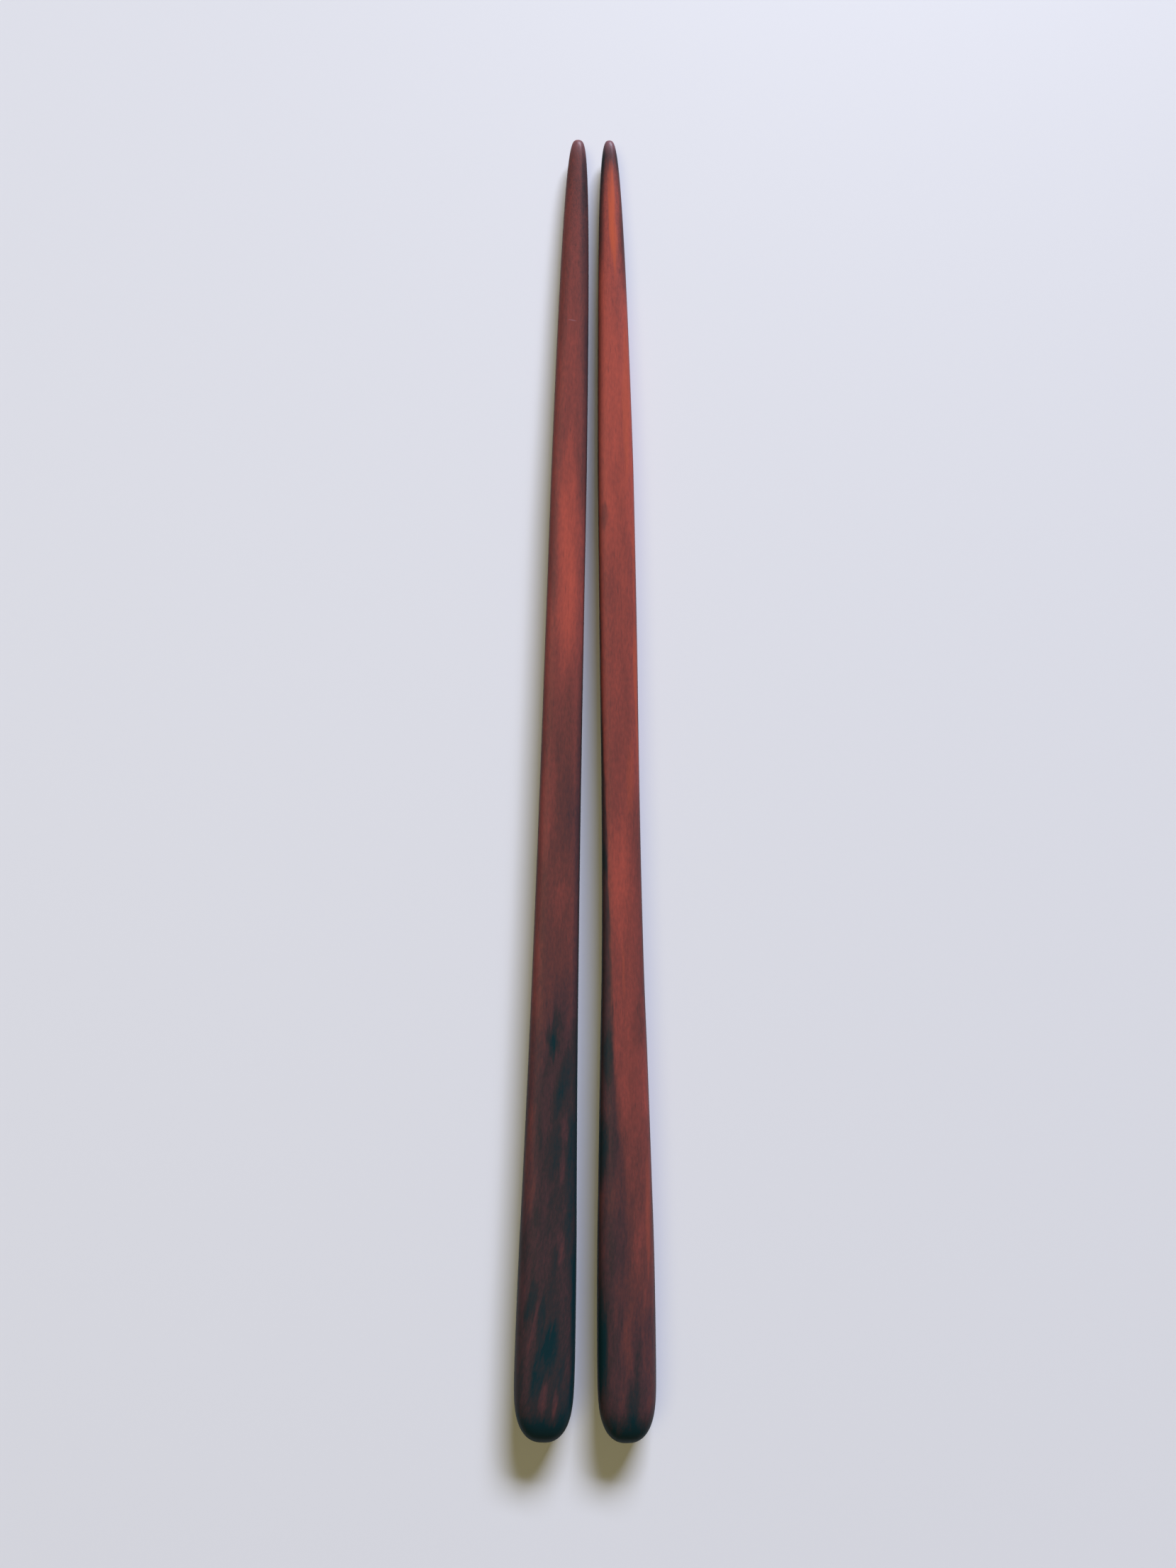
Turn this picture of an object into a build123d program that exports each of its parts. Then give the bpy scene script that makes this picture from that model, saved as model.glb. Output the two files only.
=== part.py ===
# A pair of slim hardwood chopsticks, lying side by side with their tips a little together.
# +Y runs from the butt ends to the tips, +X to the right and +Z up. The origin is on the surface
# that the pair lies on, under the middle of the pair. All lengths are in millimetres.
from build123d import *
import os
from math import asin, copysign, cos, pi, sin, sqrt

# Lengths along a stick, the same for both
stick_length = 235.0
belly_distance = 15.0
nose_length = 60.0

# Left stick, seen from above
left_handle_width = 10.9
left_shoulder_width = 6.4
left_bow = 0.0

# Right stick, seen from above: slimmer at mid-length, and bowed a little away from the left one
right_handle_width = 10.6
right_shoulder_width = 6.45
right_bow = 0.4

# Both sticks, seen from the side
handle_depth = 8.2
shoulder_depth = 5.75

# Clear gaps between the two sticks, at the bellies of the handles and at the shoulders
handle_gap = 3.85
shoulder_gap = 1.65

# How far the tip is sanded back from the sharp end of its curve
tip_blunting = 0.05

# The handle, from its belly (0) to the shoulder (1): stations, and at each one the share of the
# flare that is left in the width of either stick and in the depth of both
flare_station_shares = (0.09, 0.21, 0.34, 0.47, 0.62, 0.82)
left_flare_shares = (0.92, 0.73, 0.54, 0.39, 0.25, 0.11)
right_flare_shares = (0.95, 0.75, 0.49, 0.23, 0.10, 0.07)
depth_flare_shares = (0.93, 0.70, 0.50, 0.35, 0.21, 0.10)

# The butt end, from its outermost point (0) to the belly (1). The power of its outline would be 2
# for an ellipse, and more is blunter. Its very end is sanded to a small flat, as wide as the
# outline would be at the flat's share
dome_station_shares = (0.0, 0.004, 0.02, 0.06, 0.13, 0.25, 0.42, 0.68)
dome_power_share = 4.2
dome_flat_share = 0.001

# The nose, from the tip (0) to the shoulder (1), and the powers of its outline in either stick
nose_station_shares = (0.6, 0.36, 0.2, 0.1, 0.045, 0.018, 0.006, 0.0)
left_nose_power_share = 0.247
right_nose_power_share = 0.285

# Each slice is a soft square: a roundness of 1 is an ellipse and 0 a sharp rectangle. The corners
# are crisp at mid-length and soften to both ends
belly_roundness_share = 0.67
flare_roundness_shares = (0.62, 0.54, 0.48, 0.44, 0.42, 0.41)
shoulder_roundness_share = 0.42
tip_roundness_share = 0.87
arc_count = 28

# Half the distance between the two axes, at the bellies and at the shoulders
belly_offset = handle_gap / 2 + (left_handle_width + right_handle_width) / 4
shoulder_offset = shoulder_gap / 2 + (left_shoulder_width + right_shoulder_width) / 4

# Each stick turns in towards the other, and lies on its belly and its shoulder
axis_span = stick_length - nose_length - belly_distance
toe_in = asin((belly_offset - shoulder_offset) / axis_span)
nose_down = asin((handle_depth - shoulder_depth) / 2 / axis_span)


def blend(low, high, share):
    """The value that lies the given share of the way from low to high."""
    return low + (high - low) * share


def dome_stations(handle_width):
    """Slices of the butt end, from its outermost point up to the belly, which isn't among them."""
    for share in dome_station_shares:
        swell = sqrt(1 - (1 - max(share, dome_flat_share)) ** dome_power_share)
        yield belly_distance * share, handle_width * swell, handle_depth * swell, belly_roundness_share


def handle_stations(handle_width, shoulder_width, flare_shares):
    """Slices of the handle and shaft, from the belly to the shoulder."""
    shoulder_distance = stick_length - nose_length
    yield belly_distance, handle_width, handle_depth, belly_roundness_share
    for along, wide, deep, roundness in zip(
        flare_station_shares, flare_shares, depth_flare_shares, flare_roundness_shares
    ):
        yield (
            blend(belly_distance, shoulder_distance, along),
            blend(shoulder_width, handle_width, wide),
            blend(shoulder_depth, handle_depth, deep),
            roundness,
        )
    yield shoulder_distance, shoulder_width, shoulder_depth, shoulder_roundness_share


def nose_stations(shoulder_width, nose_power):
    """Slices of the front taper, from behind the shoulder out to the tip."""
    for share in nose_station_shares:
        reach = nose_length * share
        slim = ((reach + tip_blunting) / (nose_length + tip_blunting)) ** nose_power
        roundness = blend(tip_roundness_share, shoulder_roundness_share, share)
        yield stick_length - reach, shoulder_width * slim, shoulder_depth * slim, roundness


def soft_square(plane, middle, width, depth, roundness):
    """One slice, drawn as a ring of short arcs that crowd together at its rounded corners."""
    turns = [pi * number / arc_count for number in range(2 * arc_count)]
    ring = [
        (
            middle + width / 2 * copysign(abs(cos(turn)) ** roundness, cos(turn)),
            depth / 2 * copysign(abs(sin(turn)) ** roundness, sin(turn)),
        )
        for turn in turns
    ]
    with BuildSketch(plane) as section:
        with BuildLine():
            for start, halfway, end in zip(ring[::2], ring[1::2], ring[2::2] + ring[:1]):
                ThreePointArc(start, halfway, end)
        make_face()
    return section.sketch


def chopstick(butt_plane, handle_width, shoulder_width, flare_shares, nose_power, bow):
    """One stick, lofted through its slices from the butt end to the tip."""
    stations = [
        *dome_stations(handle_width),
        *handle_stations(handle_width, shoulder_width, flare_shares),
        *nose_stations(shoulder_width, nose_power),
    ]
    slices = []
    for distance, width, depth, roundness in stations:
        # The bow is a shallow arch between the two ends
        arch = 4 * (distance / stick_length) * (1 - distance / stick_length)
        plane = butt_plane.offset(distance)
        slices.append(soft_square(plane, bow * arch, width, depth, roundness))
    with BuildPart() as stick:
        loft(sections=slices)
    return stick


def resting_plane(side):
    """The plane across a stick's butt end, facing its tip. Side is -1 for left and 1 for right."""
    butt_end = (
        side * (belly_offset + belly_distance * sin(toe_in)),
        -stick_length / 2,
        handle_depth / 2 * cos(nose_down) + belly_distance * sin(nose_down),
    )
    across = (cos(toe_in), side * sin(toe_in), 0)
    forward = (-side * sin(toe_in) * cos(nose_down), cos(toe_in) * cos(nose_down), -sin(nose_down))
    return Plane(origin=butt_end, x_dir=across, z_dir=forward)


pair = {
    "left_chopstick": chopstick(
        resting_plane(-1),
        left_handle_width,
        left_shoulder_width,
        left_flare_shares,
        left_nose_power_share,
        left_bow,
    ),
    "right_chopstick": chopstick(
        resting_plane(1),
        right_handle_width,
        right_shoulder_width,
        right_flare_shares,
        right_nose_power_share,
        right_bow,
    ),
}

# The origin goes under the middle of the pair's box, level with its lowest point
pair_box = Compound([stick.part for stick in pair.values()]).bounding_box()
ground_middle = Vector(pair_box.center().X, pair_box.center().Y, pair_box.min.Z)

os.makedirs("parts", exist_ok=True)
for name, stick in pair.items():
    with BuildPart() as placed:
        add(stick.part.moved(Location(-ground_middle)))
    placed.part.label = name
    export_step(placed.part, f"parts/{name}.step")
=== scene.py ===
"""A pair of lacquered hardwood chopsticks lying side by side on a pale table.

Each stick is grown by one geometry tree from the sizes of its handle, shoulder and nose. Its wood is
painted in the stick's own lengths, which the tree leaves on the mesh. Lengths are in metres, apart
from those of the wood, which are in millimetres.
"""
from math import asin, cos, pi, radians, sin

import bpy
from bpy.props import FloatProperty, FloatVectorProperty, IntProperty, PointerProperty
from mathutils import Euler, Matrix, Vector


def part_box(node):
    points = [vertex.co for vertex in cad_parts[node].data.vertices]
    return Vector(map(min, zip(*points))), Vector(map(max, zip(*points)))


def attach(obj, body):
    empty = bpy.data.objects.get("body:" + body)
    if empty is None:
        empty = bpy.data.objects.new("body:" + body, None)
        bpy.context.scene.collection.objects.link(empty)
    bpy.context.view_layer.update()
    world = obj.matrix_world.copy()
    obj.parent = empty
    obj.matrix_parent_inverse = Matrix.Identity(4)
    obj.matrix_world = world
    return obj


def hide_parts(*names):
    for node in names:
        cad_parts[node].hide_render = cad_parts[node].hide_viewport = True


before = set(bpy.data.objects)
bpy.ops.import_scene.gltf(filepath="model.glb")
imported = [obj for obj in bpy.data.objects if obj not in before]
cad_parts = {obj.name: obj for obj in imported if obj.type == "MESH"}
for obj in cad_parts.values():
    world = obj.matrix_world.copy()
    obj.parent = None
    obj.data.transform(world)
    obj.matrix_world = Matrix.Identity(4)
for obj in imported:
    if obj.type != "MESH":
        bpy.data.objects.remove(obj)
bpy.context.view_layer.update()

bl_info = {
    "name": "Pair of wooden chopsticks",
    "version": (1, 0, 0),
    "blender": (4, 5, 0),
    "location": "View3D > Sidebar > Chopsticks",
    "description": "Grows a pair of lacquered hardwood chopsticks and sets the table, light and camera",
    "category": "Object",
}

MILLIMETRE = 0.001

# The attributes that a tree leaves for the wood: each point's place in its stick, and how far out
# sideways it is in its slice, from -1 to 1
PLACE = "stick_place"
SHARE = "slice_share"

# The colour sockets of a Mix node, by number, because other sockets share their names
MIX_FACTOR, MIX_LOW, MIX_HIGH = 0, 6, 7
MIX_RESULT = 2

# The handle from its belly (0) to the shoulder (1): the share of the flare that is left at each
# station, and how round the section is there, where 1 is an ellipse and 0 a sharp rectangle
FLARE_STATIONS = (0.0, 0.09, 0.21, 0.34, 0.47, 0.62, 0.82, 1.0)
LEFT_FLARE = (1.0, 0.92, 0.73, 0.54, 0.39, 0.25, 0.11, 0.0)
RIGHT_FLARE = (1.0, 0.95, 0.75, 0.49, 0.23, 0.10, 0.07, 0.0)
DEPTH_FLARE = (1.0, 0.93, 0.70, 0.50, 0.35, 0.21, 0.10, 0.0)
HANDLE_ROUNDNESS = (0.67, 0.62, 0.54, 0.48, 0.44, 0.42, 0.41, 0.42)

# Half the side of the table, its roughness, and how near the camera still sees
TABLE_HALF_SIDE = 1.5
TABLE_ROUGHNESS = 0.6
CLIP_START = 0.01

# The two soft lights: distance from the pair, width and height
WINDOW_SHAPE = (6.0, 2.5, 1.15)
WALL_SHAPE = (3.0, 2.4, 1.6)
WALL_DIRECTION = (-0.37, 0.05, 0.93)

# From here on the tables are the wood's, in millimetres. They are laid out on a stick of this
# length, and distances are from its butt end
FULL_LENGTH = 235.0

# The colours of the wood's tones, from its near-black veins up. The brightest fibres go past 1
TONE_COLOURS = (
    (0.0, "ink"), (0.26, "smoke"), (0.41, "umber"), (0.60, "brown"), (0.80, "chestnut"), (1.0, "ember"),
    (1.15, "flame"),
)

# The tone of the wood along each stick, from the butt end (0) to the tip (1)
LEFT_TONES = (
    (0.0, 0.24), (0.05, 0.26), (0.10, 0.28), (0.18, 0.31), (0.235, 0.30), (0.29, 0.33), (0.34, 0.53),
    (0.40, 0.62), (0.48, 0.60), (0.56, 0.70), (0.60, 0.78), (0.65, 0.82), (0.72, 0.81), (0.77, 0.77),
    (0.82, 0.79), (0.87, 0.77), (0.93, 0.72), (0.965, 0.66), (1.0, 0.62),
)
RIGHT_TONES = (
    (0.0, 0.38), (0.04, 0.42), (0.08, 0.48), (0.12, 0.57), (0.16, 0.65), (0.24, 0.70), (0.29, 0.78),
    (0.37, 0.82), (0.42, 0.83), (0.48, 0.80), (0.56, 0.83), (0.62, 0.83), (0.68, 0.90),
    (0.73, 0.99), (0.85, 0.99), (0.90, 0.95), (0.94, 0.93), (0.968, 0.78), (0.985, 0.50), (1.0, 0.38),
)

# Streaks of the figure: middle along and across, half length, half width, the sideways lean for each
# millimetre along, and the change of tone
LEFT_STREAKS = (
    (160.0, 0.3, 22.0, 2.1, -0.01, 0.23),
    (161.0, -2.3, 12.0, 1.1, 0.00, -0.12),
    (173.0, 1.9, 7.0, 1.0, 0.00, -0.07),
    (216.0, 1.9, 12.0, 1.0, 0.00, -0.07),
    (227.0, 1.4, 6.0, 0.7, 0.00, -0.15),
    (206.0, -1.6, 12.0, 0.8, 0.00, -0.10),
    (113.0, 1.1, 9.0, 1.6, 0.03, -0.10),
    (115.0, -2.2, 11.0, 1.5, 0.03, 0.15),
    (97.0, 0.4, 4.0, 1.2, 0.05, 0.10),
    (76.0, 0.4, 3.4, 0.9, 0.10, -0.16),
    (72.4, -0.1, 2.4, 1.2, 0.06, -0.25),
    (79.0, 1.2, 7.0, 1.8, 0.10, -0.10),
    (66.0, 2.2, 6.0, 1.3, 0.16, -0.15),
    (61.5, 1.2, 4.0, 1.6, 0.05, -0.12),
    (52.0, 0.3, 5.5, 1.6, 0.05, -0.16),
    (70.0, -2.6, 7.0, 1.6, 0.05, 0.08),
    (57.0, 2.7, 3.0, 0.6, 0.05, 0.13),
    (50.5, 2.1, 3.6, 0.5, 0.05, 0.14),
    (37.0, 2.3, 2.8, 0.8, 0.02, 0.15),
    (50.0, -3.5, 11.0, 1.4, 0.03, 0.19),
    (31.0, -1.0, 5.0, 1.4, 0.15, 0.06),
    (22.5, -2.0, 5.0, 0.6, 0.20, 0.13),
    (9.6, -0.1, 4.4, 0.7, 0.10, 0.18),
    (9.0, 2.1, 3.4, 0.5, 0.08, 0.16),
    (9.0, -3.4, 6.0, 1.3, 0.05, 0.12),
    (26.6, -2.8, 4.4, 0.9, 0.20, -0.15),
    (22.8, -0.9, 3.6, 0.7, 0.16, -0.14),
    (19.8, 0.4, 3.6, 1.8, 0.10, -0.13),
    (15.6, -0.1, 6.6, 1.8, 0.26, -0.18),
    (8.0, 3.6, 8.0, 1.3, 0.00, -0.16),
)
RIGHT_STREAKS = (
    (201.0, 1.1, 8.0, 0.6, 0.00, -0.08),
    (214.0, 1.9, 10.0, 0.9, 0.00, -0.16),
    (166.0, -2.2, 3.0, 0.8, 0.00, -0.22),
    (100.0, -0.4, 13.0, 1.6, 0.00, 0.12),
    (104.5, -3.1, 3.0, 0.8, 0.00, -0.22),
    (70.0, -2.9, 5.0, 1.1, 0.00, -0.18),
    (54.0, -4.0, 6.5, 1.0, 0.00, -0.30),
    (19.0, -4.5, 9.0, 1.0, 0.00, -0.40),
    (75.0, 2.4, 5.0, 1.2, 0.00, -0.10),
    (34.0, 3.2, 8.0, 1.2, 0.00, 0.08),
    (18.5, 1.7, 5.5, 1.1, 0.00, -0.13),
    (9.0, 1.0, 5.5, 1.3, 0.02, -0.18),
    (9.0, -1.4, 6.0, 1.6, 0.05, 0.08),
    (35.0, -1.3, 5.0, 2.4, 0.00, -0.08),
    (20.0, -1.6, 4.5, 1.9, 0.00, 0.08),
)

# Orange streaks of the right stick, in the same way, with the share of amber last. The narrow ones near its
# right edge are painted light on the edge that faces the light
AMBER_AND_LIT_EDGE_STREAKS = (
    (220.0, 0.25, 9.2, 0.75, -0.02, 1.0),
    (134.0, 2.95, 16.0, 0.3, 0.00, 0.4),
    (158.0, 2.9, 8.0, 0.3, 0.00, 0.3),
    (187.0, 2.1, 14.0, 0.8, 0.00, 0.36),
    (119.0, 1.8, 7.0, 0.7, 0.00, 0.20),
    (85.0, 0.1, 5.0, 0.4, 0.00, 0.2),
    (42.0, 3.9, 12.0, 0.5, 0.00, 0.2),
)

# Margins that differ from the rest. Most are painted shade along sides that face the gap, turn from the
# light or lie in shade; one on the left stick is painted light on an edge that turns from the light; some
# stand for darker wood as well. The side (-1 left, 1 right), where they start and are full as shares of
# the half width, where they begin and end along the stick, half the length of their soft ends, and the
# change of tone
LEFT_MARGIN_SHADE_AND_WOOD = (
    (1.0, 0.68, 0.86, 64.0, 142.0, 6.0, -0.16),
    (1.0, 0.20, 0.65, 192.0, 240.0, 8.0, -0.16),
    (1.0, 0.55, 0.90, 168.0, 204.0, 8.0, -0.21),
    (-1.0, 0.45, 0.85, 52.0, 92.0, 6.0, 0.12),
    (1.0, 0.48, 0.80, 32.0, 64.0, 6.0, -0.18),
    (1.0, 0.78, 0.93, 4.0, 34.0, 5.0, -0.28),
)
RIGHT_MARGIN_SHADE_AND_WOOD = (
    (-1.0, 0.45, 0.85, 213.0, 250.0, 5.0, -0.40),
    (1.0, 0.60, 0.90, 211.0, 250.0, 6.0, -0.28),
    (-1.0, 0.55, 0.95, 166.0, 206.0, 8.0, -0.13),
    (1.0, 0.35, 0.95, 72.0, 112.0, 8.0, -0.16),
)

# Grain is noise drawn out along the stick: its changes for each millimetre across and along, its
# place in the noise, and its detail
BROAD_GRAIN = (0.35, 0.06, 0.0, 2.0)
MIDDLE_GRAIN = (0.8, 0.16, 10.0, 3.0)
FINE_GRAIN = (3.0, 0.9, 20.0, 4.0)
SPECK_GRAIN = (6.0, 3.0, 30.0, 2.0)
PORE_GRAIN = (9.0, 0.35, 40.0, 3.0)
DARK_EDGE_GRAIN = (1.2, 0.12, 60.0, 2.0)
STRAY_ACROSS_GRAIN = (0.9, 0.07, 3.0, 2.0)
STRAY_ALONG_GRAIN = (1.3, 0.05, 7.0, 2.0)

# How far each grain moves the tone, and how much further at the handle, which passes into the shaft
# between these distances
TONE_GRAINS = ((BROAD_GRAIN, 0.25, 0.20), (MIDDLE_GRAIN, 0.12, 0.16), (FINE_GRAIN, 0.32, 0.0))
HANDLE_END = (30.0, 110.0)

# Specks come in between these distances
SPECK_START = (190.0, 226.0)
SPECK_CHANGE = 0.34

# Towards the butt end the grain leans to the left, by this much at the very end of either stick
LEFT_LEAN = 9.0
RIGHT_LEAN = 3.0
LEAN_LENGTH = 70.0

# How widely the edges of streaks and margins stray, and where a streak has faded out: at this sum of
# the squares of the shares of its half length and its half width
STRAY_ACROSS = 1.1
STRAY_ALONG = 9.0
STREAK_FADE = 1.5

# The painted shade on the butt end, where the dome turns away from the light: where it fades out, the
# share of its edge that strays, and how much darker it is
BUTT_SHADE_FADE = (0.5, 8.5)
BUTT_SHADE_STRAY = 0.4
BUTT_SHADE_DARKNESS = 0.50

# The painted shade along the rim of each stick, where its sides turn from the light, as shares of the half
# width, and how much darker it is
RIM_SHADE_SHARES = (0.92, 0.99)
RIM_SHADE_DARKNESS = 0.24

# Pores: where they open in their grain, the share of ink in them, how deep and how strong their bump
# is, and how much rougher they are
PORE_OPENING = (0.60, 0.72)
PORE_INK = 0.35
PORE_DEPTH = 0.02
PORE_BUMP = 0.25
PORE_ROUGHNESS = 0.15

# The hairline scratch across the left stick: its middle, its slant for each millimetre across, half
# its width along the stick, half its length across it, and its share of bare wood
SCRATCH_ALONG = 201.4
SCRATCH_ACROSS = -0.1
SCRATCH_SLANT = 0.16
SCRATCH_HALF_WIDTH = 0.12
SCRATCH_HALF_LENGTH = 0.75
SCRATCH_BARE = 0.55

# The paler tips, partly worn wood and partly a painted reflection of the window: where the paling starts
# and is full, and its share of bare wood
LEFT_WEAR_AND_SHEEN = (231.0, 234.6, 0.25)
RIGHT_WEAR_AND_SHEEN = (231.5, 234.8, 0.50)

# The dark wood along the right stick's left side. Its inner edge: distance as a share of the length,
# and place across from the left side of the stick (0) to its right side (1)
DARK_EDGE = (
    (0.0, 0.43), (0.06, 0.43), (0.11, 0.43), (0.15, 0.53), (0.185, 0.58), (0.215, 0.55), (0.25, 0.42),
    (0.29, 0.275), (0.345, 0.235), (0.38, 0.17), (0.43, 0.14), (0.53, 0.05), (0.60, 0.0), (1.0, 0.0),
)

# How widely that edge strays, how soft it is at the handle, how much crisper it gets and where, all
# but the last as shares of the width
DARK_EDGE_STRAY = 0.20
DARK_EDGE_SOFTNESS = 0.13
DARK_EDGE_CRISPNESS = 0.085
DARK_EDGE_CRISPS = (50.0, 85.0)

# Where the dark wood comes in and where it deepens, how much darker it is, and how much more so
# where it is deep
DARK_WOOD_START = (6.0, 26.0)
DARK_WOOD_DEEPENS = (44.0, 74.0)
DARK_WOOD_DARKNESS = 0.22
DARK_WOOD_DEPTH = 0.22


class Socket:
    """One outlet of a node, for use in expressions. Each step of an expression adds a Math node."""

    def __init__(self, maker, outlet):
        self.maker = maker
        self.outlet = outlet

    def step(self, operation, *values):
        return self.maker.node("ShaderNodeMath", {"operation": operation}, values)

    def __add__(self, other):
        return self.step("ADD", self, other)

    def __sub__(self, other):
        return self.step("SUBTRACT", self, other)

    def __rsub__(self, other):
        return self.step("SUBTRACT", other, self)

    def __mul__(self, other):
        return self.step("MULTIPLY", self, other)

    def __truediv__(self, other):
        return self.step("DIVIDE", self, other)

    def __rtruediv__(self, other):
        return self.step("DIVIDE", other, self)

    def __pow__(self, other):
        return self.step("POWER", self, other)

    def __abs__(self):
        return self.step("ABSOLUTE", self)

    __radd__ = __add__
    __rmul__ = __mul__

    def at_least(self, limit):
        return self.step("MAXIMUM", self, limit)

    def at_most(self, limit):
        return self.step("MINIMUM", self, limit)

    def cosine(self):
        return self.step("COSINE", self)

    def sign(self):
        return self.step("SIGN", self)


class Maker:
    """Adds the nodes of one tree."""

    def __init__(self, tree):
        self.tree = tree
        tree.nodes.clear()

    def node(self, kind, settings=None, sockets=(), outlet=0):
        """Adds a node, sets it up, fills its sockets by place or name and gives one of its outlets."""
        made = self.tree.nodes.new(kind)
        for name, value in (settings or {}).items():
            if name == "stops":
                self.set_stops(made.color_ramp, value)
            elif name == "points":
                self.set_points(made.mapping, value)
            else:
                setattr(made, name, value)
        pairs = sockets.items() if isinstance(sockets, dict) else enumerate(sockets)
        for place, value in pairs:
            socket = made.inputs[place]
            if isinstance(value, Socket):
                self.tree.links.new(value.outlet, socket)
            elif socket.type == "RGBA":
                socket.default_value = (*value[:3], 1.0)
            else:
                socket.default_value = value
        return Socket(self, made.outputs[outlet]) if made.outputs else None

    @staticmethod
    def set_stops(ramp, stops):
        """Gives a colour ramp its stops."""
        while len(ramp.elements) > 1:
            ramp.elements.remove(ramp.elements[-1])
        for number, (position, colour) in enumerate(stops):
            stop = ramp.elements[0] if number == 0 else ramp.elements.new(position)
            stop.position = position
            stop.color = (*colour[:3], 1.0)

    @staticmethod
    def set_points(mapping, points):
        """Gives a curve its points."""
        curve = mapping.curves[0]
        first, *inner, last = points
        curve.points[0].location = first
        curve.points[-1].location = last
        for point in inner:
            curve.points.new(*point)
        mapping.update()

    def mix(self, factor, low, high):
        """The colour that lies between two others."""
        settings = {"data_type": "RGBA", "clamp_factor": True}
        sockets = {MIX_FACTOR: factor, MIX_LOW: low, MIX_HIGH: high}
        return self.node("ShaderNodeMix", settings, sockets, MIX_RESULT)

    def rise(self, value, start, end):
        """0 up to the start, 1 from the end on, and smooth in between."""
        settings = {"interpolation_type": "SMOOTHSTEP"}
        return self.node("ShaderNodeMapRange", settings, (value, start, end, 0.0, 1.0))

    def curve(self, value, points):
        """A number that follows a smooth curve through the points, all between 0 and 1."""
        return self.node("ShaderNodeFloatCurve", {"points": points}, {"Value": value})

    def split(self, vector):
        """The three numbers of a vector."""
        parts = self.node("ShaderNodeSeparateXYZ", None, (vector,)).outlet.node.outputs
        return [Socket(self, outlet) for outlet in parts]

    def join(self, x, y, z):
        """The vector of three numbers."""
        return self.node("ShaderNodeCombineXYZ", None, (x, y, z))


def length(name, description, millimetres):
    """A length, given in millimetres and kept in metres."""
    return FloatProperty(
        name=name, description=description, default=millimetres * MILLIMETRE, unit="LENGTH", precision=5
    )


def angle(name, description, degrees):
    """An angle, given in degrees and kept in radians."""
    return FloatProperty(name=name, description=description, default=radians(degrees), subtype="ANGLE")


def power(name, description, watts):
    """The power of a light."""
    return FloatProperty(name=name, description=description, default=watts, unit="POWER")


def exponent(name, description, default):
    """The power that shapes an outline."""
    return FloatProperty(name=name, description=description, default=default, precision=4)


def fraction(name, description, default):
    """A number from 0 to 1."""
    return FloatProperty(
        name=name, description=description, default=default, subtype="FACTOR", min=0.0, max=1.0, precision=4
    )


def paint(name, description, default):
    """A colour."""
    return FloatVectorProperty(
        name=name, description=description, default=default, subtype="COLOR", size=3, min=0.0, max=1.0
    )


class PairSizes(bpy.types.PropertyGroup):
    """The sizes of both sticks and the gaps between them."""

    stick_length: length("Stick length", "From the butt end to the tip", 235.0)
    belly_distance: length("Belly distance", "From the butt end to the thickest place", 15.0)
    nose_length: length("Nose length", "The front taper, from the shoulder to the tip", 60.0)
    handle_depth: length("Handle depth", "Thickness at the belly", 8.2)
    shoulder_depth: length("Shoulder depth", "Thickness at the shoulder", 5.75)
    left_handle_width: length("Left handle width", "Width of the left stick's belly", 10.9)
    left_shoulder_width: length("Left shoulder width", "Width of the left stick's shoulder", 6.4)
    left_bow: length("Left bow", "Sideways bow of the left stick at mid-length", 0.0)
    right_handle_width: length("Right handle width", "Width of the right stick's belly", 10.6)
    right_shoulder_width: length("Right shoulder width", "Width of the right stick's shoulder", 6.45)
    right_bow: length("Right bow", "Sideways bow of the right stick at mid-length", 0.4)
    handle_gap: length("Handle gap", "Clear gap between the two bellies", 3.85)
    shoulder_gap: length("Shoulder gap", "Clear gap between the two shoulders", 1.65)
    tip_blunting: length("Tip blunting", "How far the tip is sanded back", 0.05)
    butt_flat: fraction("Butt flat", "Share of the dome that its end flat takes", 0.001)
    dome_power: exponent("Dome power", "Bluntness of the butt end, 2 for an ellipse", 4.2)
    left_nose_power: exponent("Left nose power", "Bluntness of the left tip, less is blunter", 0.247)
    right_nose_power: exponent("Right nose power", "Bluntness of the right tip, less is blunter", 0.285)
    tip_roundness: fraction("Tip roundness", "Roundness of the section at the tip", 0.87)
    rings: IntProperty(name="Rings", description="Slices along a stick", default=480, min=8)
    ring_sides: IntProperty(name="Ring sides", description="Faces round a slice", default=96, min=8)


class WoodTones(bpy.types.PropertyGroup):
    """The colours of the wood under its lacquer, and how glossy the lacquer is."""

    flame: paint("Flame", "The brightest fibres", (0.41, 0.080, 0.056))
    ember: paint("Ember", "Bright red wood", (0.315, 0.066, 0.050))
    chestnut: paint("Chestnut", "Red wood, the most of it", (0.197, 0.050, 0.043))
    brown: paint("Brown", "Red-brown wood", (0.114, 0.039, 0.036))
    umber: paint("Umber", "Dark brown wood", (0.062, 0.031, 0.034))
    smoke: paint("Smoke", "The dark ground of the handles", (0.034, 0.026, 0.028))
    ink: paint("Ink", "Near-black veins and butt ends", (0.005, 0.024, 0.030))
    amber: paint("Amber", "Orange streaks", (0.44, 0.084, 0.040))
    # Bare wood is worn wood, and at the tips it also stands for a painted reflection of the window
    bare_and_sheen: paint("Bare wood", "Worn, paler wood at the tips", (0.275, 0.122, 0.137))
    sheen: fraction("Sheen", "How much the wood itself shines", 0.05)
    satin: fraction("Satin", "Roughness of the wood", 0.55)
    coat: fraction("Coat", "Weight of the clear lacquer", 0.10)
    coat_satin: fraction("Coat satin", "Roughness of the lacquer", 0.24)


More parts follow.
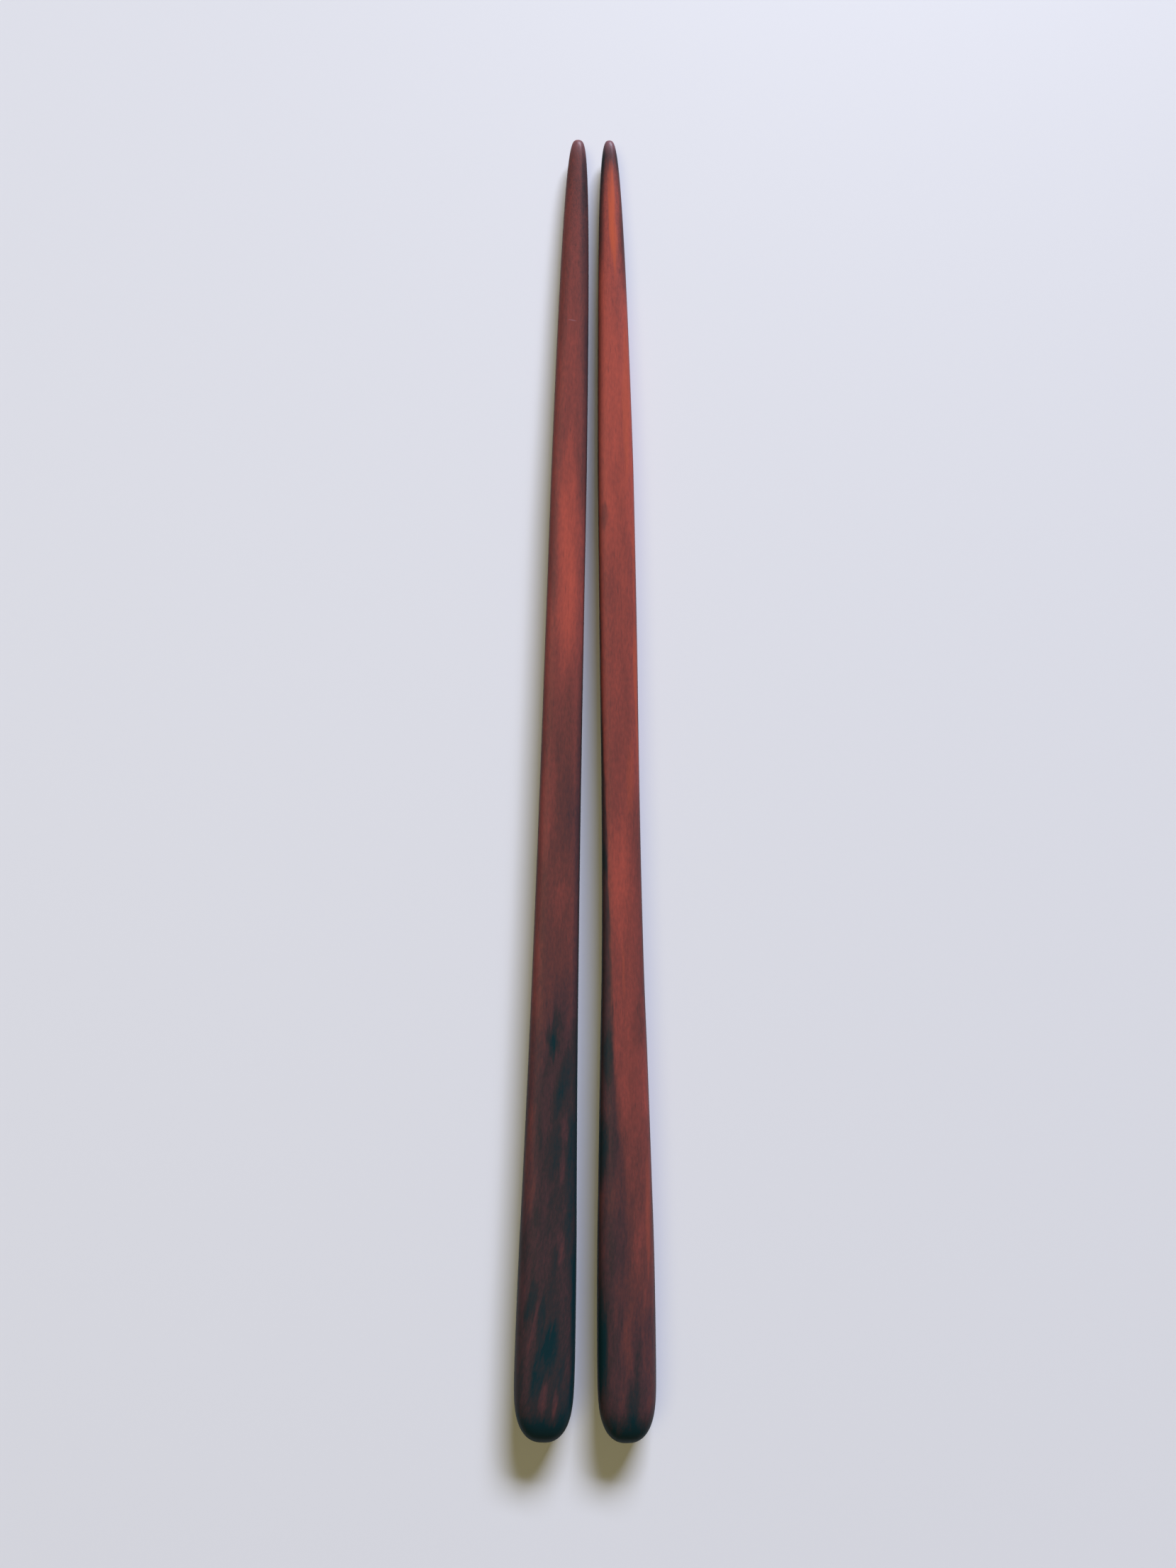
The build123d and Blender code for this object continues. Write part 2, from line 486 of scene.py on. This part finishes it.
class StageSettings(bpy.types.PropertyGroup):
    """The camera over the pair, the table and the light."""

    camera_height: length("Camera height", "Height over the table", 216.3)
    camera_right: length("Camera right", "Distance right of the middle", -0.2)
    camera_forward: length("Camera forward", "Distance to the tips' side", 0.8)
    camera_roll: angle("Camera roll", "Turn about the view", 0.39)
    field_of_view: angle("Field of view", "From top to bottom", 67.3)
    table_colour: paint("Table colour", "The plain table top", (0.72, 0.72, 0.75))
    window_colour: paint("Window colour", "Colour of the large soft light", (0.765, 0.815, 1.0))
    window_power: power("Window power", "Power of the large soft light", 762.0)
    window_azimuth: angle("Window azimuth", "Turn of the light from the tips' side to the right", 14.5)
    window_elevation: angle("Window elevation", "Height of the light over the table", 26.0)
    wall_colour: paint("Wall colour", "Colour of the warm light from the left", (1.0, 0.89, 0.48))
    wall_power: power("Wall power", "Power of the warm light from the left", 21.2)
    room_colour: paint("Room colour", "Colour of the light from all round", (0.0785, 0.0675, 0.036))


def add_object(name, data):
    """A new object of the scene, at its origin."""
    made = bpy.data.objects.new(name, data)
    bpy.context.scene.collection.objects.link(made)
    return made


def stick_tree(name, flare):
    """The geometry tree of one stick: a closed tube whose rings are pushed out to their slices."""
    tree = bpy.data.node_groups.new(name, "GeometryNodeTree")
    maker = Maker(tree)
    sizes = (
        "Stick length", "Belly distance", "Nose length", "Handle width", "Shoulder width", "Handle depth",
        "Shoulder depth", "Bow", "Tip blunting", "Butt flat", "Dome power", "Nose power", "Tip roundness",
    )
    kinds = [
        *((size, "NodeSocketFloat") for size in sizes),
        ("Rings", "NodeSocketInt"), ("Ring sides", "NodeSocketInt"),
        ("Turn", "NodeSocketRotation"), ("Butt place", "NodeSocketVector"), ("Finish", "NodeSocketMaterial"),
    ]
    for label, kind in kinds:
        tree.interface.new_socket(name=label, in_out="INPUT", socket_type=kind)
    tree.interface.new_socket(name="Geometry", in_out="OUTPUT", socket_type="NodeSocketGeometry")
    inlet = maker.node("NodeGroupInput").outlet.node
    given = {label: Socket(maker, inlet.outputs[label]) for label, _ in kinds}

    # The tube has a radius of 1 and runs from -0.5 to 0.5
    tube = maker.node(
        "GeometryNodeMeshCylinder",
        {"fill_type": "TRIANGLE_FAN"},
        {"Vertices": given["Ring sides"], "Side Segments": given["Rings"], "Radius": 1.0, "Depth": 1.0},
    )
    sideways, upwards, lengthways = maker.split(maker.node("GeometryNodeInputPosition"))

    # Rings crowd together towards both ends, where the outline turns fastest
    half_turn = (lengthways + 0.5) * pi
    distance = given["Stick length"] * (0.5 - half_turn.cosine() * 0.5)
    left_over = given["Stick length"] - distance

    dome_share = (distance / given["Belly distance"]).at_most(1.0)
    dome_rest = (1.0 - given["Butt flat"]) * (1.0 - dome_share)
    swell = (1.0 - dome_rest ** given["Dome power"]) ** 0.5

    handle_span = given["Stick length"] - given["Nose length"] - given["Belly distance"]
    handle_share = ((distance - given["Belly distance"]) / handle_span).at_least(0.0).at_most(1.0)

    reach = left_over.at_most(given["Nose length"])
    slim_share = (reach + given["Tip blunting"]) / (given["Nose length"] + given["Tip blunting"])
    slim = slim_share ** given["Nose power"]

    def girth(handle, shoulder, shares):
        """The width or depth of each slice."""
        flare_left = maker.curve(handle_share, list(zip(FLARE_STATIONS, shares)))
        return (given[shoulder] + (given[handle] - given[shoulder]) * flare_left) * swell * slim

    roundness = maker.curve(handle_share, list(zip(FLARE_STATIONS, HANDLE_ROUNDNESS)))
    nose_share = 1.0 - reach / given["Nose length"]
    roundness = roundness + (given["Tip roundness"] - HANDLE_ROUNDNESS[-1]) * nose_share

    def soft_square(offset):
        """How far out a point of the round tube is, moved to a soft square of the same radius."""
        return offset.sign() * abs(offset) ** roundness

    share = soft_square(sideways)
    across = share * girth("Handle width", "Shoulder width", flare) * 0.5
    height = soft_square(upwards) * girth("Handle depth", "Shoulder depth", DEPTH_FLARE) * 0.5
    along_share = distance / given["Stick length"]
    arch = 4.0 * along_share * (1.0 - along_share) * given["Bow"]

    # The wood is painted by each point's place in the stick, and by how far out it is in its slice
    marked = tube
    place = maker.join(across, distance, height)
    for label, kind, value in ((PLACE, "FLOAT_VECTOR", place), (SHARE, "FLOAT", share)):
        marked = maker.node(
            "GeometryNodeStoreNamedAttribute",
            {"data_type": kind, "domain": "POINT"},
            {"Geometry": marked, "Name": label, "Value": value},
        )
    shaped = maker.node(
        "GeometryNodeSetPosition",
        None,
        {"Geometry": marked, "Position": maker.join(across + arch, distance, height)},
    )
    placed = maker.node(
        "GeometryNodeTransform",
        None,
        {"Geometry": shaped, "Translation": given["Butt place"], "Rotation": given["Turn"]},
    )
    smooth = maker.node("GeometryNodeSetShadeSmooth", None, {"Geometry": placed})
    real = maker.node("GeometryNodeRealizeInstances", None, {"Geometry": smooth})
    finished = maker.node("GeometryNodeSetMaterial", None, {"Geometry": real, "Material": given["Finish"]})
    maker.node("NodeGroupOutput", None, {"Geometry": finished})
    return tree


def grow_stick(node, side, flare, finish):
    """Grows one stick, makes it a plain mesh and lets it stand for its CAD node."""
    sizes = bpy.context.scene.pair_sizes
    hand = "left" if side < 0 else "right"

    def own(size):
        """A size that the two sticks don't share."""
        return getattr(sizes, f"{hand}_{size}")

    # Half the distance between the two axes, at the bellies and at the shoulders
    belly_offset = sizes.handle_gap / 2 + (sizes.left_handle_width + sizes.right_handle_width) / 4
    shoulder_offset = sizes.shoulder_gap / 2 + (sizes.left_shoulder_width + sizes.right_shoulder_width) / 4
    axis_span = sizes.stick_length - sizes.nose_length - sizes.belly_distance
    toe_in = asin((belly_offset - shoulder_offset) / axis_span)
    nose_down = asin((sizes.handle_depth - sizes.shoulder_depth) / 2 / axis_span)
    butt_place = (
        side * (belly_offset + sizes.belly_distance * sin(toe_in)),
        -sizes.stick_length / 2,
        sizes.handle_depth / 2 * cos(nose_down) + sizes.belly_distance * sin(nose_down),
    )
    values = {
        "Stick length": sizes.stick_length, "Belly distance": sizes.belly_distance,
        "Nose length": sizes.nose_length, "Handle width": own("handle_width"),
        "Shoulder width": own("shoulder_width"), "Handle depth": sizes.handle_depth,
        "Shoulder depth": sizes.shoulder_depth, "Bow": own("bow"), "Tip blunting": sizes.tip_blunting,
        "Butt flat": sizes.butt_flat, "Dome power": sizes.dome_power, "Nose power": own("nose_power"),
        "Tip roundness": sizes.tip_roundness, "Rings": sizes.rings, "Ring sides": sizes.ring_sides,
        "Turn": Euler((-nose_down, 0.0, side * toe_in)), "Butt place": butt_place, "Finish": finish,
    }
    stick = add_object(f"{hand}_lacquered_stick", bpy.data.meshes.new(f"{hand}_stick"))
    modifier = stick.modifiers.new("Grow", "NODES")
    modifier.node_group = stick_tree(f"{hand.capitalize()} stick", flare)
    for item in modifier.node_group.interface.items_tree:
        if item.in_out == "INPUT":
            modifier[item.identifier] = values[item.name]
    grown = stick.evaluated_get(bpy.context.evaluated_depsgraph_get())
    stick.data = bpy.data.meshes.new_from_object(grown)
    stick.modifiers.clear()

    # It lies in the middle of its node's box, with its lowest point on the table. The first corner of
    # its own box is the lowest one, and the seventh is the highest
    low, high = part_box(node)
    own_low = Vector(stick.bound_box[0])
    own_high = Vector(stick.bound_box[6])
    middle = (own_low + own_high) / 2
    shift = ((low[0] + high[0]) / 2 - middle.x, (low[1] + high[1]) / 2 - middle.y, low[2] - own_low.z)
    stick.data.transform(Matrix.Translation(shift))
    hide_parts(node)
    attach(stick, "root")


class Wood(Maker):
    """The wood of one stick under its satin lacquer, painted in the stick's own millimetres."""

    def __init__(self, name, lean):
        self.material = bpy.data.materials.new(name)
        self.material.use_nodes = True
        super().__init__(self.material.node_tree)
        self.tones = bpy.context.scene.wood_tones
        place = self.node("ShaderNodeAttribute", {"attribute_name": PLACE}, outlet="Vector")
        scale = {0: place, "Scale": 1 / MILLIMETRE}
        scaled = self.node("ShaderNodeVectorMath", {"operation": "SCALE"}, scale)
        self.across, self.along, self.up = self.split(scaled)
        self.share = self.node("ShaderNodeAttribute", {"attribute_name": SHARE}, outlet="Fac")

        lean_left = 1.0 - self.along.at_most(LEAN_LENGTH) / LEAN_LENGTH
        self.grain = self.across + lean_left * lean_left * lean

        # Streaks and margins have uneven edges
        self.rough_across = self.across + self.stray(STRAY_ACROSS_GRAIN) * STRAY_ACROSS
        self.rough_along = self.along + self.stray(STRAY_ALONG_GRAIN) * STRAY_ALONG

    def fibre(self, across, along, seed, detail):
        """The noise of one grain, around 0.5."""
        vector = self.join(self.grain * across + seed, self.along * along, self.up * across)
        return self.node("ShaderNodeTexNoise", None, {"Vector": vector, "Scale": 1.0, "Detail": detail})

    def stray(self, grain):
        """The noise of one grain, around 0."""
        return self.fibre(*grain) - 0.5

    def lens(self, forward, sideways, half_length, half_width):
        """1 at the middle of an ellipse, and soft at its rim."""
        length_share = forward / half_length
        width_share = sideways / half_width
        return 1.0 - self.rise(length_share * length_share + width_share * width_share, 0.0, STREAK_FADE)

    def streak(self, middle_along, middle_across, half_length, half_width, lean, amount):
        """A lens along the grain, uneven at its rim."""
        forward = self.rough_along - middle_along
        sideways = self.rough_across - middle_across - forward * lean
        return self.lens(forward, sideways, half_length, half_width) * amount

    def margin(self, side, start, full, low, high, soft, change):
        """A change of tone at one side of the stick, between two distances from the butt end: painted shade,
        painted light and darker wood, as the tables give.
        """
        along = self.rise(self.rough_along, low - soft, low + soft)
        along = along * (1.0 - self.rise(self.rough_along, high - soft, high + soft))
        return self.rise(self.share * side, start, full) * along * change

    def figure(self, tones, streaks):
        """The tone of the wood, with its grain and its streaks, and painted shade on its butt end and rim.
        """
        tone = self.curve(self.along / FULL_LENGTH, tones)
        handle = 1.0 - self.rise(self.along, *HANDLE_END)
        for grain, change, handle_change in TONE_GRAINS:
            tone = tone + self.stray(grain) * (change + handle * handle_change)
        specks = self.stray(SPECK_GRAIN) * self.rise(self.along, *SPECK_START)
        tone = tone + specks * SPECK_CHANGE
        for streak in streaks:
            tone = tone + self.streak(*streak)
        # Painted shade darkens the butt end, whose dome turns away from the light
        butt_shade_distance = self.rough_along * BUTT_SHADE_STRAY + self.along * (1.0 - BUTT_SHADE_STRAY)
        tone = tone - (1.0 - self.rise(butt_shade_distance, *BUTT_SHADE_FADE)) * BUTT_SHADE_DARKNESS
        # Painted shade darkens the rim, where the sides turn from the light
        return tone - self.rise(abs(self.share), *RIM_SHADE_SHARES) * RIM_SHADE_DARKNESS

    def colour(self, tone):
        """The colour of a tone. The ramp runs from 0 to 1, so tones go into it as shares of the last."""
        brightest = TONE_COLOURS[-1][0]
        stops = [(position / brightest, getattr(self.tones, name)) for position, name in TONE_COLOURS]
        return self.node("ShaderNodeValToRGB", {"stops": stops}, (tone / brightest,))

    def worn_and_sheen(self, colour, start, full, amount):
        """The colour with bare wood and a painted reflection of the window showing towards the tip."""
        return self.mix(self.rise(self.along, start, full) * amount, colour, self.tones.bare_and_sheen)

    def finish(self, colour):
        """Pores, lacquer and the surface itself."""
        pores = self.rise(self.fibre(*PORE_GRAIN), *PORE_OPENING)
        bump = self.node(
            "ShaderNodeBump",
            None,
            {"Strength": PORE_BUMP, "Distance": PORE_DEPTH * MILLIMETRE, "Height": 1.0 - pores},
        )
        surface = self.node(
            "ShaderNodeBsdfPrincipled",
            None,
            {
                "Base Color": self.mix(pores * PORE_INK, colour, self.tones.ink),
                "Roughness": self.tones.satin + pores * PORE_ROUGHNESS,
                "Specular IOR Level": self.tones.sheen,
                "Coat Weight": self.tones.coat,
                "Coat Roughness": self.tones.coat_satin,
                "Normal": bump,
            },
        )
        self.node("ShaderNodeOutputMaterial", None, {"Surface": surface})
        return self.material


def left_wood():
    """The left stick: red from its tip to mid-length, and nearly black with red slivers at its handle."""
    wood = Wood("Left hardwood", LEFT_LEAN)
    tone = wood.figure(LEFT_TONES, LEFT_STREAKS)
    # Painted shade and painted light along the sides, and darker wood
    for margin in LEFT_MARGIN_SHADE_AND_WOOD:
        tone = tone + wood.margin(*margin)
    colour = wood.colour(tone)

    # A hairline scratch runs across it near the front
    forward = wood.along + wood.across * SCRATCH_SLANT - SCRATCH_ALONG
    scratch = wood.lens(forward, wood.across - SCRATCH_ACROSS, SCRATCH_HALF_WIDTH, SCRATCH_HALF_LENGTH)
    colour = wood.mix(scratch * SCRATCH_BARE, colour, wood.tones.bare_and_sheen)
    # Towards the tip: worn wood and a painted reflection of the window
    return wood.finish(wood.worn_and_sheen(colour, *LEFT_WEAR_AND_SHEEN))


def right_wood():
    """The right stick: red nearly all along, with dark wood at its left and orange at its tip."""
    wood = Wood("Right hardwood", RIGHT_LEAN)
    tone = wood.figure(RIGHT_TONES, RIGHT_STREAKS)

    # The dark wood lies left of its edge, which strays and is crisper beyond the handle
    edge = wood.curve(wood.along / FULL_LENGTH, DARK_EDGE)
    soft = DARK_EDGE_SOFTNESS - wood.rise(wood.along, *DARK_EDGE_CRISPS) * DARK_EDGE_CRISPNESS
    place = (wood.share + 1.0) * 0.5 + wood.stray(DARK_EDGE_GRAIN) * DARK_EDGE_STRAY
    inside = 1.0 - wood.rise(place, edge - soft, edge + soft)
    darkness = DARK_WOOD_DARKNESS + wood.rise(wood.along, *DARK_WOOD_DEEPENS) * DARK_WOOD_DEPTH
    tone = tone - inside * wood.rise(wood.along, *DARK_WOOD_START) * darkness
    # Painted shade along the sides, and darker wood
    for margin in RIGHT_MARGIN_SHADE_AND_WOOD:
        tone = tone + wood.margin(*margin)

    # Orange streaks, with painted light along the right edge
    amber = sum(wood.streak(*streak) for streak in AMBER_AND_LIT_EDGE_STREAKS)
    colour = wood.mix(amber, wood.colour(tone), wood.tones.amber)
    # Towards the tip: worn wood and a painted reflection of the window
    return wood.finish(wood.worn_and_sheen(colour, *RIGHT_WEAR_AND_SHEEN))


class PAIR_OT_left_chopstick(bpy.types.Operator):
    """Grow the left stick"""

    bl_idname = "pair.left_chopstick"
    bl_label = "Left chopstick"

    def execute(self, context):
        grow_stick("left_chopstick", -1, LEFT_FLARE, left_wood())
        return {"FINISHED"}


class PAIR_OT_right_chopstick(bpy.types.Operator):
    """Grow the right stick"""

    bl_idname = "pair.right_chopstick"
    bl_label = "Right chopstick"

    def execute(self, context):
        grow_stick("right_chopstick", 1, RIGHT_FLARE, right_wood())
        return {"FINISHED"}


def lay_table(stage):
    """The plain table top, which is no part of the pair."""
    half = TABLE_HALF_SIDE
    corners = [(-half, -half, 0.0), (half, -half, 0.0), (half, half, 0.0), (-half, half, 0.0)]
    mesh = bpy.data.meshes.new("table_top")
    mesh.from_pydata(corners, [], [(0, 1, 2, 3)])
    plain = bpy.data.materials.new("Plain table")
    plain.use_nodes = True
    maker = Maker(plain.node_tree)
    finish = {"Base Color": stage.table_colour, "Roughness": TABLE_ROUGHNESS}
    surface = maker.node("ShaderNodeBsdfPrincipled", None, finish)
    maker.node("ShaderNodeOutputMaterial", None, {"Surface": surface})
    mesh.materials.append(plain)
    add_object("table_top", mesh)


def area_light(name, towards, shape, watts, colour):
    """A soft light, shaped as a window, that faces the pair from a direction."""
    distance, width, height = shape
    light = bpy.data.lights.new(name, "AREA")
    light.shape = "RECTANGLE"
    light.size = width
    light.size_y = height
    light.energy = watts
    light.color = colour
    lamp = add_object(name, light)
    lamp.location = Vector(towards).normalized() * distance
    lamp.rotation_euler = Vector(towards).to_track_quat("Z", "Y").to_euler()


def light_pair(stage):
    """The window beyond the tips, and the warm light that comes back from the left."""
    level = cos(stage.window_elevation)
    towards = (
        level * sin(stage.window_azimuth), level * cos(stage.window_azimuth), sin(stage.window_elevation)
    )
    area_light("Window", towards, WINDOW_SHAPE, stage.window_power, stage.window_colour)
    area_light("Wall", WALL_DIRECTION, WALL_SHAPE, stage.wall_power, stage.wall_colour)


def fill_room(stage):
    """The room lights the pair dimly, and looks pale where the camera sees past the table."""
    room = bpy.data.worlds.new("Room")
    room.use_nodes = True
    maker = Maker(room.node_tree)
    seen = maker.node("ShaderNodeLightPath", outlet="Is Camera Ray")
    shade = maker.mix(seen, stage.room_colour, stage.table_colour)
    glow = maker.node("ShaderNodeBackground", None, {"Color": shade, "Strength": 1.0})
    maker.node("ShaderNodeOutputWorld", None, {"Surface": glow})
    bpy.context.scene.world = room


def place_camera(stage):
    """The camera looks straight down on the pair."""
    lens = bpy.data.cameras.new("Overhead camera")
    lens.sensor_fit = "VERTICAL"
    lens.angle = stage.field_of_view
    lens.clip_start = CLIP_START
    camera = add_object("Overhead camera", lens)
    camera.location = (stage.camera_right, stage.camera_forward, stage.camera_height)
    camera.rotation_euler = (0.0, 0.0, stage.camera_roll)
    bpy.context.scene.camera = camera


class PAIR_OT_stage(bpy.types.Operator):
    """Set the table, the light and the camera"""

    bl_idname = "pair.stage"
    bl_label = "Table, light and camera"

    def execute(self, context):
        stage = context.scene.stage_settings
        lay_table(stage)
        light_pair(stage)
        fill_room(stage)
        place_camera(stage)
        context.scene.view_settings.view_transform = "Standard"
        return {"FINISHED"}


class PAIR_PT_sidebar(bpy.types.Panel):
    """The steps that make the pair and its stage"""

    bl_idname = "PAIR_PT_sidebar"
    bl_label = "Chopsticks"
    bl_space_type = "VIEW_3D"
    bl_region_type = "UI"
    bl_category = "Chopsticks"

    def draw(self, context):
        for group in (context.scene.pair_sizes, context.scene.wood_tones, context.scene.stage_settings):
            box = self.layout.box()
            for name in group.bl_rna.properties.keys():
                if name not in ("rna_type", "name"):
                    box.prop(group, name)
        for step in STEPS:
            self.layout.operator(step.bl_idname)


STEPS = (PAIR_OT_left_chopstick, PAIR_OT_right_chopstick, PAIR_OT_stage)
CLASSES = (PairSizes, WoodTones, StageSettings, *STEPS, PAIR_PT_sidebar)


def register():
    """Registers the classes and gives the scene its sizes, colours and stage settings."""
    for made in CLASSES:
        bpy.utils.register_class(made)
    bpy.types.Scene.pair_sizes = PointerProperty(type=PairSizes)
    bpy.types.Scene.wood_tones = PointerProperty(type=WoodTones)
    bpy.types.Scene.stage_settings = PointerProperty(type=StageSettings)


def unregister():
    """Takes back what register adds."""
    del bpy.types.Scene.stage_settings, bpy.types.Scene.wood_tones, bpy.types.Scene.pair_sizes
    for made in reversed(CLASSES):
        bpy.utils.unregister_class(made)


def main():
    """Grows both sticks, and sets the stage."""
    register()
    bpy.ops.pair.left_chopstick()
    bpy.ops.pair.right_chopstick()
    bpy.ops.pair.stage()


if __name__ == "__main__":
    main()
